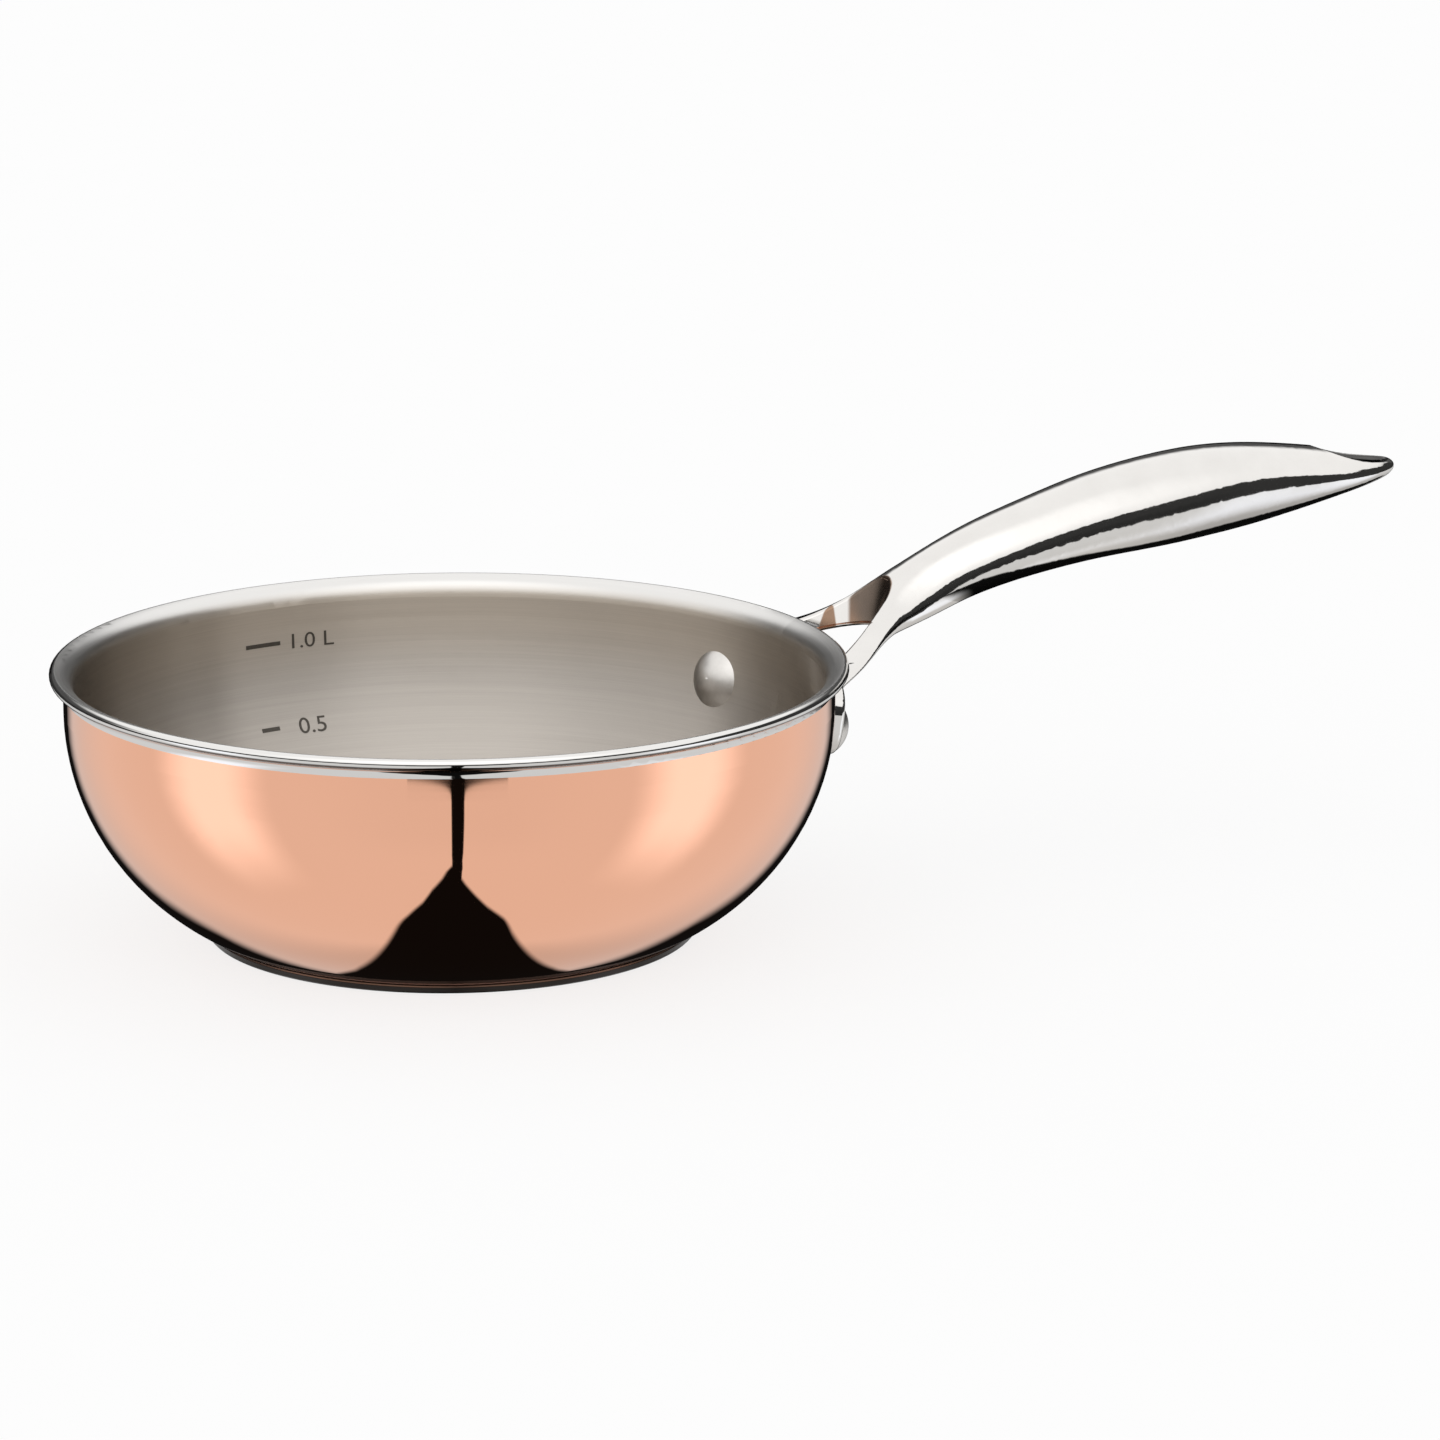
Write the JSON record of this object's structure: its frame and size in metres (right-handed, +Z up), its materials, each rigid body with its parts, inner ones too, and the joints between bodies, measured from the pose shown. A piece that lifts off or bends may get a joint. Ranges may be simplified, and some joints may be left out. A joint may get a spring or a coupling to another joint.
{
  "type": "saucier pan",
  "caption": "Small copper saucier pan with curved walls, a flared steel rim, litre marks inside and a forked, hollow-cast steel handle with a hanging eye.",
  "frame": {"origin": "centre of the underside of the base disc, on the bowl's axis", "axes": "+Z up along the bowl's axis, +X from the bowl towards the tip of the handle, +Y across to the left-hand rivet"},
  "size_m": [0.3711, 0.1954, 0.0999],
  "materials": {
    "copper": "polished copper",
    "aluminium": "plain, edge only",
    "lining_steel": "circumferentially brushed inside, polished lip",
    "disc_steel": "satin",
    "cast_steel": "mirror-polished cast stainless steel",
    "rivet_steel": "polished"
  },
  "bodies": {
    "root": {"aluminium_core": "aluminium", "base_disc": "disc_steel", "copper_shell": "copper", "handle": "cast_steel", "rivet_left": "rivet_steel", "rivet_right": "rivet_steel", "steel_lining": "lining_steel"}
  },
  "joints": []
}
